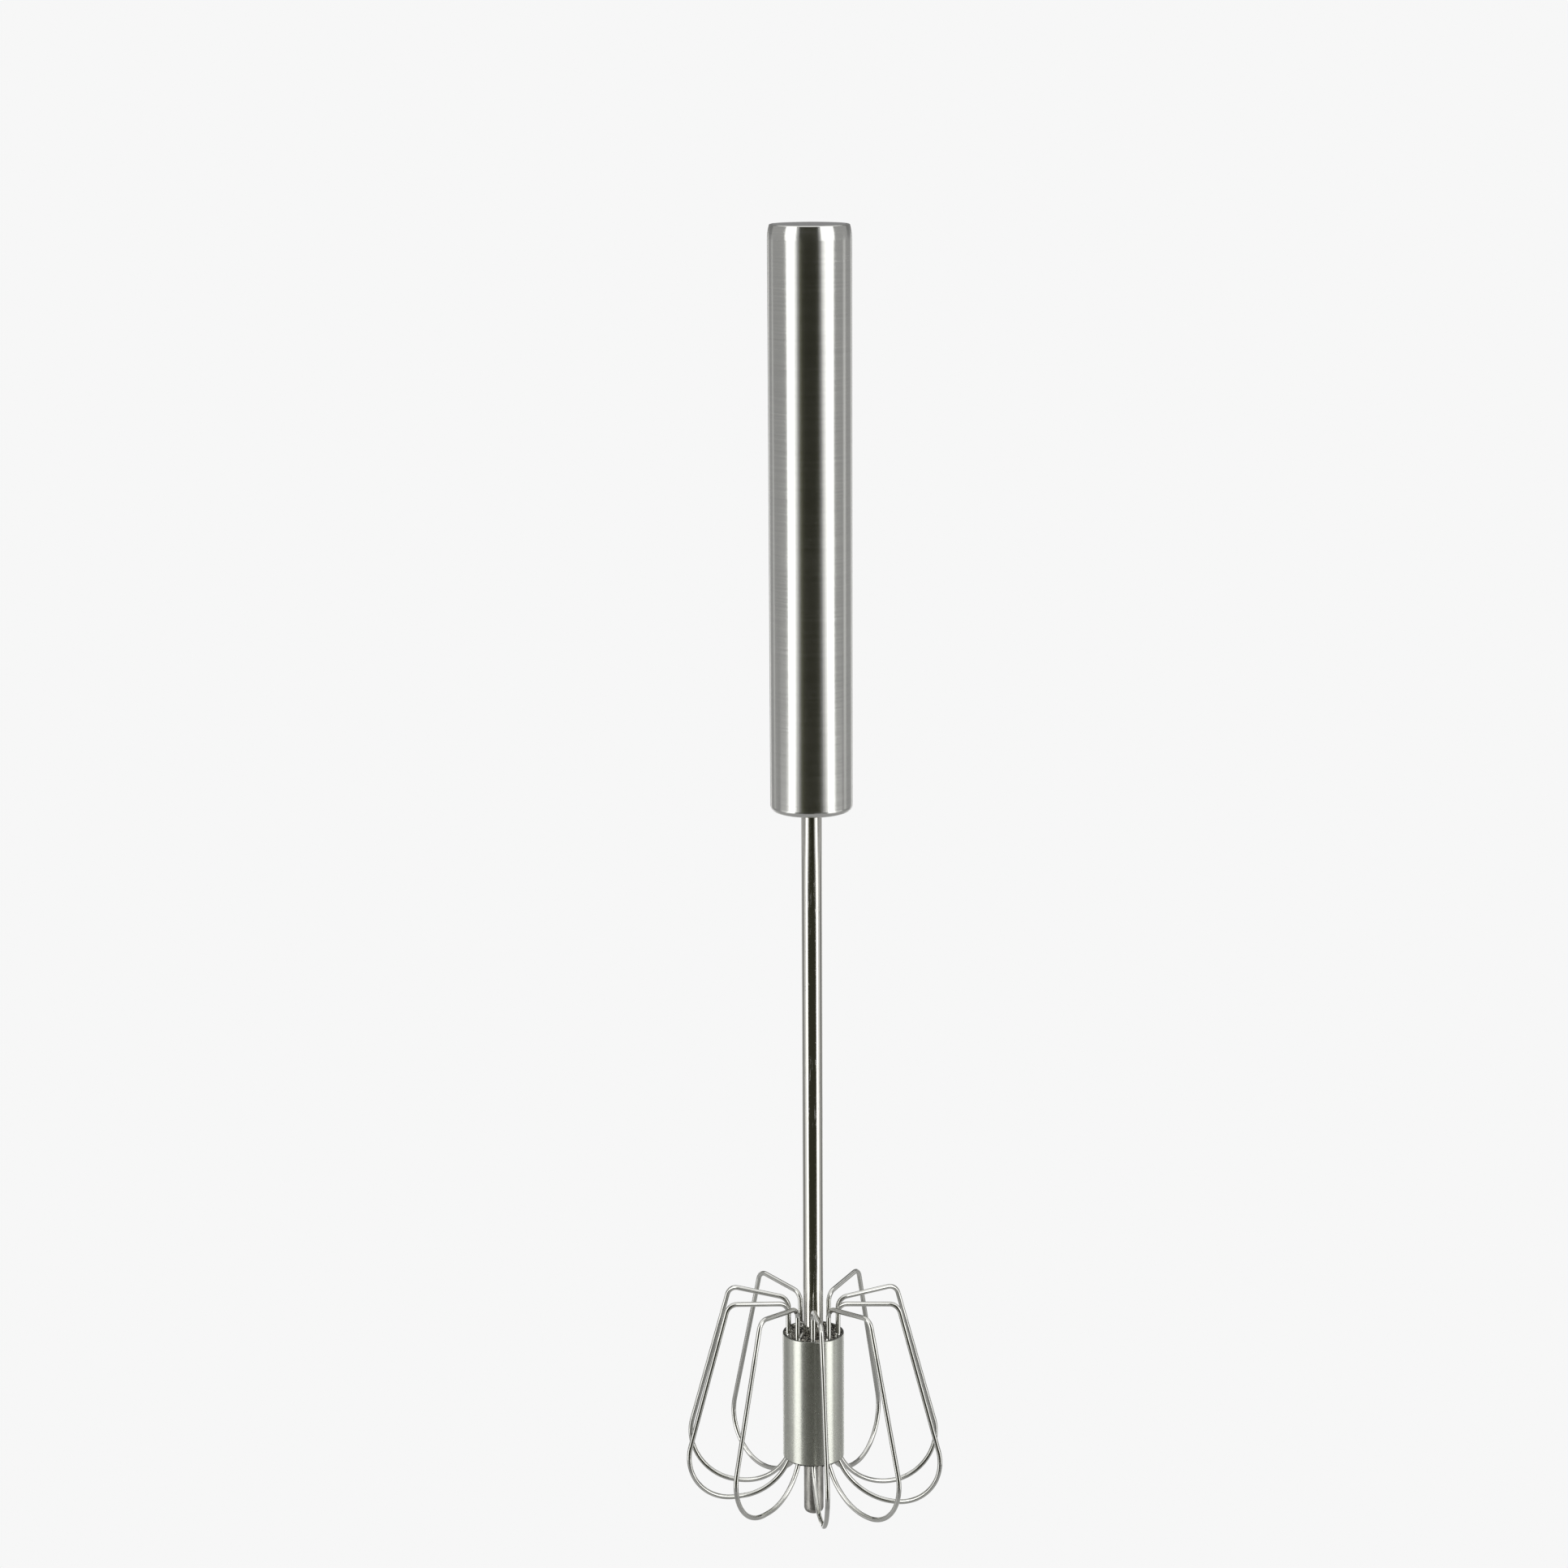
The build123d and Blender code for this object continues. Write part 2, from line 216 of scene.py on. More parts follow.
# ---- material nodes ----------------------------------------------------------------------
class Signal:
    """A value in a finish's node tree. Arithmetic on it adds Math nodes."""

    def __init__(self, finish, socket):
        self.finish = finish
        self.socket = socket

    def _math(self, operation, *values):
        return self.finish.node("ShaderNodeMath", {"operation": operation}, dict(enumerate(values)))

    def __add__(self, other):
        return self._math("ADD", self, other)

    def __radd__(self, other):
        return self._math("ADD", other, self)

    def __sub__(self, other):
        return self._math("SUBTRACT", self, other)

    def __rsub__(self, other):
        return self._math("SUBTRACT", other, self)

    def __mul__(self, other):
        return self._math("MULTIPLY", self, other)

    def __rmul__(self, other):
        return self._math("MULTIPLY", other, self)

    def between(self, low, high):
        """0 at low, 1 at high, smooth in between and level outside. low may be the greater."""
        settings = {"interpolation_type": "SMOOTHSTEP"}
        if low < high:
            ends = {"From Min": low, "From Max": high, "To Min": 0.0, "To Max": 1.0}
        else:
            ends = {"From Min": high, "From Max": low, "To Min": 1.0, "To Max": 0.0}
        return self.finish.node("ShaderNodeMapRange", settings, {"Value": self, **ends})


class Finish:
    """A material and the means to build its node tree."""

    def __init__(self, name):
        self.material = bpy.data.materials.new(name)
        self.material.use_nodes = True
        self.tree = self.material.node_tree
        self.tree.nodes.clear()

    @staticmethod
    def _socket(sockets, key):
        if isinstance(key, int):
            return sockets[key]
        named = [s for s in sockets if s.identifier == key] or [s for s in sockets if s.name == key]
        if not named:
            raise KeyError(f"no socket {key!r} among {[s.name for s in sockets]}")
        return named[0]

    def node(self, kind, settings=None, values=None, output=0):
        """Adds a node: its settings first, then the values or links of its sockets."""
        made = self.tree.nodes.new(kind)
        for key, setting in (settings or {}).items():
            setattr(made, key, setting)
        for key, value in (values or {}).items():
            socket = self._socket(made.inputs, key)
            if isinstance(value, Signal):
                self.tree.links.new(value.socket, socket)
            else:
                socket.default_value = value
        if not len(made.outputs):
            return None
        return Signal(self, self._socket(made.outputs, output))

    def place(self):
        """Object coordinates, in metres."""
        return self.node("ShaderNodeTexCoord", output="Object")

    def height(self):
        """The Z coordinate, in metres."""
        return self.node("ShaderNodeSeparateXYZ", values={0: self.place()}, output="Z")

    def stretched(self, scale, turn=(0.0, 0.0, 0.0)):
        """Object coordinates turned, and then scaled by a number for each axis."""
        sizes = tuple(1.0 / number for number in scale)
        values = {"Vector": self.place(), "Rotation": turn, "Scale": sizes}
        return self.node("ShaderNodeMapping", {"vector_type": "TEXTURE"}, values)

    def noise(self, place, scale=1.0, detail=2.0, roughness=0.5, distortion=0.0):
        """Noise about 0.5 at a place."""
        values = {
            "Vector": place, "Scale": scale, "Detail": detail,
            "Roughness": roughness, "Distortion": distortion,
        }
        return self.node("ShaderNodeTexNoise", None, values)

    def mix(self, factor, first, second):
        """A mix of two colours."""
        settings = {"data_type": "RGBA", "blend_type": "MIX"}
        values = {"Factor_Float": factor, "A_Color": first, "B_Color": second}
        return self.node("ShaderNodeMix", settings, values, "Result_Color")

    def bump(self, height, distance, strength=1.0, under=None):
        """The surface normal with a height of so many metres laid on it."""
        values = {"Height": height, "Distance": distance, "Strength": strength}
        if under is not None:
            values["Normal"] = under
        return self.node("ShaderNodeBump", None, values)

    def surface(self, values):
        """Closes the tree with the given Principled surface, and returns the material."""
        shader = self.node("ShaderNodeBsdfPrincipled", None, values)
        self.node("ShaderNodeOutputMaterial", None, {"Surface": shader})
        return self.material


def shade(colour, level):
    """A colour made lighter or darker, with its alpha."""
    return tuple(min(1.0, c * level) for c in colour) + (1.0,)


def scratches(finish, turn, spread):
    """A sparse mask of fine, straight scratches along one direction."""
    lines = finish.noise(finish.stretched((4200.0, 4200.0, 45.0), turn), 1.0, 0.0)
    patches = finish.noise(finish.stretched((spread, spread, spread), turn), 1.0, 2.0)
    return lines.between(0.68, 0.74) * patches.between(0.50, 0.62)


def brushed_steel(name, colour, low, high, roughness=0.2):
    """Steel brushed finely round its axis, lightly smudged, and rubbed smoother at its two ends."""
    finish = Finish(name)
    fine = finish.noise(finish.stretched((70.0, 70.0, 5200.0)), 1.0, 3.0, 0.6)
    coarse = finish.noise(finish.stretched((28.0, 28.0, 1900.0)), 1.0, 2.0, 0.5)
    smudge = finish.noise(finish.stretched((48.0, 48.0, 30.0)), 1.0, 4.0, 0.55, 0.8)
    pits = finish.noise(finish.place(), 2600.0, 1.0, 0.5)
    z = finish.height()
    ends = z.between(high - 1.4 * MM, high - 0.3 * MM) + z.between(low + 1.8 * MM, low + 0.4 * MM)
    scuffs = scratches(finish, (0.5, 0.3, 0.0), 70.0)

    tone = 0.45 * fine + 0.3 * coarse + 0.25 * smudge
    steel = finish.mix(tone.between(0.3, 0.7), shade(colour, 0.93), shade(colour, 1.05))
    steel = finish.mix(pits.between(0.72, 0.78) * 0.3, steel, shade(colour, 0.65))
    streaks = 0.14 * (fine - 0.5) + 0.06 * (coarse - 0.5)
    rough = roughness + streaks + 0.06 * (smudge - 0.5) - 0.05 * ends + 0.05 * scuffs
    grooves = finish.bump(fine * 0.8 + coarse * 0.2, 0.003 * MM, 0.6)
    return finish.surface({
        "Base Color": steel, "Metallic": 1.0, "Roughness": rough, "Normal": grooves,
        "Anisotropic": 0.7, "Anisotropic Rotation": 0.25,
    })


def satin_steel(name, colour, low, high):
    """Steel with a fine satin grain round it, faintly cloudy, with painted shade darkening its cut
    rims.
    """
    finish = Finish(name)
    fine = finish.noise(finish.stretched((260.0, 260.0, 3800.0)), 1.0, 3.0, 0.6)
    grain = finish.noise(finish.place(), 3600.0, 2.0, 0.6)
    cloud = finish.noise(finish.place(), 190.0, 4.0, 0.55, 0.6)
    z = finish.height()
    # mask of the two cut rims, where painted shade is laid
    rim_shade = z.between(high - 0.16 * MM, high - 0.04 * MM) + z.between(low + 0.3 * MM, low + 0.1 * MM)

    tone = 0.4 * fine + 0.3 * grain + 0.3 * cloud
    steel = finish.mix(tone.between(0.3, 0.7), shade(colour, 0.94), shade(colour, 1.04))
    # painted shade: the cut rims get a near-black copy of the steel's colour
    steel = finish.mix(rim_shade * 0.9, steel, shade(colour, 0.14))
    rough = 0.26 + 0.07 * (grain - 0.5) + 0.06 * (cloud - 0.5) + 0.08 * rim_shade
    grooves = finish.bump(0.6 * fine + 0.4 * grain, 0.004 * MM, 0.8)
    return finish.surface({
        "Base Color": steel, "Metallic": 1.0, "Roughness": rough, "Normal": grooves,
        "Anisotropic": 0.4, "Anisotropic Rotation": 0.25,
    })


def shaft_steel(name, colour):
    """Drawn and polished steel with faint lines along it, worn dull by the bowl below the head."""
    finish = Finish(name)
    lines = finish.noise(finish.stretched((2400.0, 2400.0, 40.0)), 1.0, 2.0, 0.6)
    rubbed = finish.noise(finish.stretched((150.0, 150.0, 60.0)), 1.0, 4.0, 0.6, 0.5)
    dull = finish.noise(finish.stretched((520.0, 520.0, 170.0)), 1.0, 4.0, 0.6, 0.6)
    specks = finish.noise(finish.place(), 1900.0, 2.0, 0.5).between(0.68, 0.74)
    z = finish.height()
    worn = z.between(SLEEVE_LOW.z + 1.0 * MM, SLEEVE_LOW.z)
    nose = z.between(FOOT_LOW.z + 6.0 * MM, FOOT_LOW.z + 1.0 * MM)
    marks = scratches(finish, (0.06, 0.04, 0.0), 120.0)
    knocks = scratches(finish, (0.9, 0.5, 0.0), 260.0) * worn * (0.35 + 0.65 * nose)

    tone = 0.5 * lines + 0.5 * rubbed
    steel = finish.mix(tone.between(0.3, 0.7), shade(colour, 0.94), shade(colour, 1.04))
    steel = finish.mix(specks * 0.45, steel, shade(colour, 0.5))
    dull_steel = finish.mix(dull.between(0.35, 0.65), shade(colour, 0.49), shade(colour, 0.82))
    steel = finish.mix(worn, steel, dull_steel)
    steel = finish.mix(knocks * 0.6, steel, shade(colour, 1.3))
    smooth = 0.09 + 0.05 * (rubbed - 0.5) + 0.04 * (lines - 0.5) + 0.2 * marks
    rough = smooth + worn * (0.24 + 0.14 * (dull - 0.5)) + 0.1 * knocks
    drawn = finish.bump(lines, 0.0012 * MM, 0.6)
    pitted = finish.bump(1.0 - specks, 0.006 * MM, 0.7, drawn)
    dented = finish.bump(dull * worn, 0.02 * MM, 0.5, pitted)
    normal = finish.bump(1.0 - (marks * 0.5 + knocks), 0.01 * MM, 0.8, dented)
    return finish.surface({
        "Base Color": steel, "Metallic": 1.0, "Roughness": rough, "Normal": normal,
    })


def polished_wire(name, colour):
    """Polished wire, barely wavy from drawing and bending, dulled where it goes into the head."""
    finish = Finish(name)
    waves = finish.noise(finish.place(), 260.0, 2.0, 0.5)
    fine = finish.noise(finish.place(), 2000.0, 2.0, 0.6)
    stains = finish.noise(finish.place(), 130.0, 4.0, 0.6, 0.7)
    z = finish.height()
    low, high = SLEEVE_LOW.z, SLEEVE_HIGH.z
    rooted = z.between(low - 1.0 * MM, low) * z.between(high + 1.2 * MM, high)

    steel = finish.mix(stains.between(0.35, 0.7), shade(colour, 1.04), shade(colour, 0.90))
    steel = finish.mix(rooted * 0.4, steel, shade(colour, 0.5))
    rough = 0.085 + 0.03 * (fine - 0.5) + 0.05 * stains.between(0.45, 0.75) + 0.06 * rooted
    wavy = finish.bump(waves, 0.015 * MM, 0.5)
    normal = finish.bump(fine, 0.001 * MM, 0.6, wavy)
    return finish.surface({
        "Base Color": steel, "Metallic": 1.0, "Roughness": rough, "Normal": normal,
    })


def drawn_steel(name, colour):
    """Plain spring steel with a dull, oily, slightly mottled skin."""
    finish = Finish(name)
    mottle = finish.noise(finish.place(), 650.0, 4.0, 0.6, 0.4)
    fine = finish.noise(finish.stretched((1800.0, 1800.0, 500.0)), 1.0, 3.0, 0.6)
    steel = finish.mix(mottle.between(0.35, 0.65), shade(colour, 0.8), shade(colour, 1.12))
    rough = 0.27 + 0.14 * (mottle - 0.5) + 0.08 * (fine - 0.5)
    return finish.surface({
        "Base Color": steel, "Metallic": 1.0, "Roughness": rough,
        "Normal": finish.bump(fine, 0.010 * MM, 0.7),
    })


def dark_solder(name, colour):
    """Dark metal: crumpled, darker still in random patches, with bright flecks where it stands
    highest.
    """
    finish = Finish(name)
    lumps = finish.noise(finish.place(), 1100.0, 4.0, 0.65, 0.8)
    crumple = finish.noise(finish.place(), 2600.0, 3.0, 0.6, 0.6)
    dark_patches = finish.noise(finish.place(), 700.0, 4.0, 0.65, 0.6)
    flecks = (lumps * 0.5 + crumple * 0.5).between(0.54, 0.60)
    # a dark base colour, made darker still in random patches and lighter in flecks on the highest
    # lumps
    metal = finish.mix(dark_patches.between(0.38, 0.56), shade(colour, 1.6), shade(colour, 0.15))
    metal = finish.mix(flecks * 0.9, metal, shade(colour, 6.0))
    rough = 0.24 + 0.4 * dark_patches.between(0.42, 0.6) - 0.08 * flecks
    folded = finish.bump(lumps, 0.3 * MM, 0.9)
    return finish.surface({
        "Base Color": metal, "Metallic": 0.9, "Roughness": rough,
        "Normal": finish.bump(crumple, 0.1 * MM, 0.8, folded),
    })


def bright_solder(name, colour):
    """Bright tinned metal that has run up the wire, stained in its hollows."""
    finish = Finish(name)
    lumps = finish.noise(finish.place(), 1500.0, 3.0, 0.6, 0.3)
    stains = finish.noise(finish.place(), 800.0, 3.0, 0.6, 0.5)
    metal = finish.mix(stains.between(0.45, 0.60), shade(colour, 1.05), shade(colour, 0.35))
    rough = 0.14 + 0.2 * stains.between(0.45, 0.7)
    return finish.surface({
        "Base Color": metal, "Metallic": 1.0, "Roughness": rough,
        "Normal": finish.bump(lumps, 0.06 * MM, 0.7),
    })


def moulded_nylon(name, colour):
    """Off-white nylon with a fine moulded skin and faint flow marks."""
    finish = Finish(name)
    flow = finish.noise(finish.place(), 240.0, 3.0, 0.55, 1.2)
    skin = finish.noise(finish.place(), 3200.0, 2.0, 0.6)
    tint = finish.mix(flow.between(0.35, 0.65), shade(colour, 0.94), shade(colour, 1.05))
    rough = 0.42 + 0.12 * (flow - 0.5) + 0.10 * (skin - 0.5)
    return finish.surface({
        "Base Color": tint, "Roughness": rough, "IOR": 1.53,
        "Normal": finish.bump(skin, 0.012 * MM, 0.7),
    })


def soft_rubber(name, colour):
    """Black rubber with a dusty bloom."""
    finish = Finish(name)
    bloom = finish.noise(finish.place(), 520.0, 4.0, 0.6, 0.5)
    tint = finish.mix(bloom.between(0.45, 0.7), shade(colour, 0.9), shade(colour, 2.2))
    return finish.surface({
        "Base Color": tint, "Roughness": 0.62 + 0.2 * (bloom - 0.5), "IOR": 1.5,
        "Normal": finish.bump(bloom, 0.02 * MM, 0.6),
    })


def dress(names, material):
    """Puts a finish on CAD nodes."""
    for name in names:
        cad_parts[name].material_slots[0].material = material


# ---- modelling helpers -------------------------------------------------------------------
def start_clean():
    """Leaves edit mode and deselects everything."""
    if bpy.context.object and bpy.context.object.mode != "OBJECT":
        bpy.ops.object.mode_set(mode="OBJECT")
    bpy.ops.object.select_all(action="DESELECT")


def new_piece(name):
    """Names the primitive that was just added, and opens it for editing."""
    piece = bpy.context.object
    piece.name = name
    piece.data.name = name
    bpy.ops.object.transform_apply(location=True, rotation=True, scale=True)
    bpy.ops.object.mode_set(mode="EDIT")
    return piece


def select_where(piece, kind, test):
    """Selects the vertices, edges or faces of the piece in edit mode that pass a test."""
    bpy.ops.mesh.select_mode(type=kind)
    bpy.ops.mesh.select_all(action="DESELECT")
    cage = bmesh.from_edit_mesh(piece.data)
    members = {"VERT": cage.verts, "EDGE": cage.edges, "FACE": cage.faces}[kind]
    found = [member for member in members if test(member)]
    if not found:
        raise RuntimeError(f"nothing to select on {piece.name}")
    for member in found:
        member.select_set(True)
    cage.select_flush_mode()
    bmesh.update_edit_mesh(piece.data)


def apply_modifier(piece, kind, **settings):
    """Adds a modifier with its settings and applies it."""
    modifier = piece.modifiers.new(kind.title(), kind)
    for key, setting in settings.items():
        setattr(modifier, key, setting)
    bpy.context.view_layer.objects.active = piece
    bpy.ops.object.modifier_apply(modifier=modifier.name)


def close_piece(piece, material, body="whisk"):
    """Smooths the finished piece, gives it its finish and sets it on its body."""
    if piece.mode != "OBJECT":
        bpy.ops.object.mode_set(mode="OBJECT")
    bpy.ops.object.select_all(action="DESELECT")
    piece.select_set(True)
    bpy.context.view_layer.objects.active = piece
    bpy.ops.object.shade_smooth_by_angle(angle=math.radians(50))
    piece.data.materials.clear()
    piece.data.materials.append(material)
    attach(piece, body)


def recalculate_outwards():
    """Merges doubles and turns every face outwards, in edit mode."""
    bpy.ops.mesh.select_all(action="SELECT")
    bpy.ops.mesh.remove_doubles(threshold=0.002 * MM)
    bpy.ops.mesh.normals_make_consistent(inside=False)


def wire_feet():
    """Where each wire loop stands in the core: the middle of its ends inside it."""
    feet = []
    for index in range(LOOP_COUNT):
        points = [v.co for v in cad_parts[f"wire_loop_{index + 1:02d}"].data.vertices]
        level = [p for p in points if HUB_LOW.z + 2 * MM < p.z < HUB_HIGH.z]
        inside = [p for p in level if math.hypot(p.x, p.y) < SLEEVE_RADIUS]
        if not inside:
            raise RuntimeError("a wire loop has no end inside the core")
        middle = sum(inside, Vector()) / len(inside)
        feet.append(Vector((middle.x, middle.y, 0.0)))
    return feet


# ---- operators: finishes on the CAD nodes ------------------------------------------------
class BEATER_OT_finish_handle(bpy.types.Operator):
    """Brush the handle and its cap"""

    bl_idname = "beater.finish_handle"
    bl_label = "Finish Handle"

    def execute(self, context):
        colour = tuple(context.scene.beater_finishes.handle_steel)
        low, high = HANDLE_LOW.z, HANDLE_HIGH.z
        dress(["handle_tube"], brushed_steel("brushed handle steel", colour, low, high))
        dress(["top_cap"], brushed_steel("turned cap steel", colour, low, high, 0.16))
        return {"FINISHED"}


class BEATER_OT_finish_shaft(bpy.types.Operator):
    """Polish the shaft and its foot"""

    bl_idname = "beater.finish_shaft"
    bl_label = "Finish Shaft"

    def execute(self, context):
        colour = tuple(context.scene.beater_finishes.shaft_steel)
        dress(["shaft_tube", "foot_plug"], shaft_steel("polished shaft steel", colour))
        return {"FINISHED"}


class BEATER_OT_finish_head(bpy.types.Operator):
    """Finish the head sleeve, the core and the wire loops"""

    bl_idname = "beater.finish_head"
    bl_label = "Finish Whisk Head"

    def execute(self, context):
        colours = context.scene.beater_finishes
        low, high = SLEEVE_LOW.z, SLEEVE_HIGH.z
        satin = satin_steel("satin sleeve steel", tuple(colours.sleeve_steel), low, high)
        dress(["head_sleeve"], satin)
        dress(["wire_hub"], dark_solder("dark core metal", tuple(colours.core)))
        loops = [f"wire_loop_{index + 1:02d}" for index in range(LOOP_COUNT)]
        dress(loops, polished_wire("polished loop wire", tuple(colours.wire_steel)))
        return {"FINISHED"}


class BEATER_OT_finish_mechanism(bpy.types.Operator):
    """Finish the strip, spring, nut, bush and the other pieces inside the handle"""

    bl_idname = "beater.finish_mechanism"
    bl_label = "Finish Mechanism"

    def execute(self, context):
        colours = context.scene.beater_finishes
        steel = drawn_steel("drawn spring steel", tuple(colours.drawn_steel))
        dress(["spiral_strip", "return_spring", "anchor_pin", "thrust_washer"], steel)
        dress(["nut_pin_front", "nut_pin_back"], steel)
        nylon = moulded_nylon("moulded nylon", tuple(colours.nylon))
        dress(["anchor_plug", "guide_bush", "drive_nut"], nylon)
        dress(["buffer_ring"], soft_rubber("black rubber", tuple(colours.rubber)))
        return {"FINISHED"}


class BEATER_OT_coil_spring(bpy.types.Operator):
    """Wind the return spring, which shortens as the handle is pushed down"""

    bl_idname = "beater.coil_spring"
    bl_label = "Coil Spring"

    def execute(self, context):
        sizes = context.scene.beater_sizes
        wire = sizes.spring_wire_radius
        steel = tuple(context.scene.beater_finishes.drawn_steel)
        start_clean()
        bpy.ops.mesh.primitive_circle_add(
            vertices=10, radius=wire, location=(SPRING_HIGH.x - wire, 0, SPRING_LOW.z + wire),
            rotation=(math.radians(90), 0, 0),
        )
        piece = new_piece("coil_spring")
        bpy.ops.object.mode_set(mode="OBJECT")
        rise = (SPRING_HIGH.z - SPRING_LOW.z - 2 * wire) / sizes.spring_coils
        apply_modifier(
            piece, "SCREW", axis="Z", angle=math.tau, screw_offset=rise,
            iterations=sizes.spring_coils, steps=24, render_steps=24,
        )
        bpy.ops.object.mode_set(mode="EDIT")
        middle = (SPRING_LOW.z + SPRING_HIGH.z) / 2
        for side in (1, -1):
            select_where(
                piece, "EDGE",
                lambda edge: edge.is_boundary and side * (edge.verts[0].co.z - middle) > 0,
            )
            bpy.ops.mesh.edge_face_add()
        recalculate_outwards()
        close_piece(piece, drawn_steel("wound spring steel", steel), "handle")
        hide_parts("return_spring")
        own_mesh(piece)
        return {"FINISHED"}


# ---- operators: details in the head ------------------------------------------------------
class BEATER_OT_solder_fill(bpy.types.Operator):
    """Fill the two mouths of the head sleeve with rough solder"""

    bl_idname = "beater.solder_fill"
    bl_label = "Solder Fill"

    def execute(self, context):
        sizes = context.scene.beater_sizes
        material = dark_solder("run solder", tuple(context.scene.beater_finishes.core))
        top, bottom = sizes.fill_thickness, sizes.fill_below
        self.fill("solder_fill_top", HUB_HIGH.z + top / 2, top, sizes, material)
        self.fill("solder_fill_bottom", HUB_LOW.z - bottom / 2, bottom, sizes, material)
        return {"FINISHED"}

    def fill(self, name, height, thickness, sizes, material):
        """One ring of solder between the shaft and the sleeve, with a crumpled face."""
        outer = SLEEVE_RADIUS - sizes.sleeve_wall
        inner = SHAFT_RADIUS + 0.02 * MM
        start_clean()
        bpy.ops.mesh.primitive_cylinder_add(
            vertices=96, radius=outer, depth=thickness, end_fill_type="NGON",
            location=(0, 0, height),
        )
        piece = new_piece(name)
        select_where(piece, "FACE", lambda face: len(face.verts) > 4)
        bpy.ops.mesh.inset(thickness=outer - inner, depth=0)
        bpy.ops.mesh.bridge_edge_loops()
        select_where(piece, "EDGE", lambda edge: self.reach(edge) > 1.0 * MM)
        bpy.ops.mesh.subdivide(number_cuts=15)
        bpy.ops.mesh.select_all(action="SELECT")
        bpy.ops.mesh.subdivide(number_cuts=1)
        recalculate_outwards()
        bpy.ops.object.mode_set(mode="OBJECT")
        lumps = bpy.data.textures.new(name, "CLOUDS")
        lumps.noise_type = "HARD_NOISE"
        lumps.noise_scale = 0.9 * MM
        lumps.noise_depth = 3
        apply_modifier(
            piece, "DISPLACE", texture=lumps, texture_coords="LOCAL", direction="Z",
            strength=sizes.fill_lumps, mid_level=0.5,
        )
        close_piece(piece, material)

    @staticmethod
    def reach(edge):
        """How far an edge runs away from the axis."""
        start, end = (math.hypot(v.co.x, v.co.y) for v in edge.verts)
        return abs(end - start)


class BEATER_OT_solder_beads(bpy.types.Operator):
    """Set a flared bead of solder round each wire where it enters the core"""

    bl_idname = "beater.solder_beads"
    bl_label = "Solder Beads"

    def execute(self, context):
        sizes = context.scene.beater_sizes
        colour = tuple(context.scene.beater_finishes.wire_steel)
        material = bright_solder("bright solder", colour)
        pattern = self.bead(sizes)
        base = HUB_HIGH.z + sizes.fill_thickness - sizes.bead_depth
        for index, foot in enumerate(wire_feet()):
            inwards = foot.normalized() * (0.1 * MM)
            place = foot - inwards + Vector((0, 0, base))
            self.copy(pattern, f"solder_bead_{index + 1:02d}", place, index, material)
        bpy.data.objects.remove(pattern)
        return {"FINISHED"}

    def bead(self, sizes):
        """One bead: a cone that flows up the wire, hollowed on its flank."""
        start_clean()
        bpy.ops.mesh.primitive_cone_add(
            vertices=20, radius1=sizes.bead_radius, radius2=sizes.bead_neck,
            depth=sizes.bead_height, end_fill_type="NGON", location=(0, 0, sizes.bead_height / 2),
        )
        piece = new_piece("bead_pattern")
        select_where(
            piece, "EDGE",
            lambda edge: abs(edge.verts[0].co.z - edge.verts[1].co.z) > 0.1 * MM,
        )
        bpy.ops.mesh.subdivide(number_cuts=3)
        step = sizes.bead_height / 4
        for count, narrowing in ((1, 0.86), (2, 0.82), (3, 0.90)):
            select_where(piece, "VERT", lambda v: abs(v.co.z - count * step) < 0.1 * MM)
            bpy.ops.transform.resize(
                value=(narrowing, narrowing, 1.0), center_override=(0, 0, count * step)
            )
        recalculate_outwards()
        bpy.ops.object.mode_set(mode="OBJECT")
        return piece

    def copy(self, pattern, name, place, index, material):
        """One bead of its own shape at a wire's foot."""
        piece = pattern.copy()
        piece.data = pattern.data.copy()
        piece.name = name
        piece.data.name = name
        bpy.context.scene.collection.objects.link(piece)
        piece.data.transform(Matrix.Translation(place))
        start_clean()
        piece.select_set(True)
        bpy.context.view_layer.objects.active = piece
        bpy.ops.object.mode_set(mode="EDIT")
        bpy.ops.mesh.select_all(action="SELECT")
        bpy.ops.transform.vertex_random(offset=0.07 * MM, uniform=1.0, seed=index)
        bpy.ops.object.mode_set(mode="OBJECT")
        apply_modifier(piece, "SUBSURF", levels=1, render_levels=1)
        close_piece(piece, material)


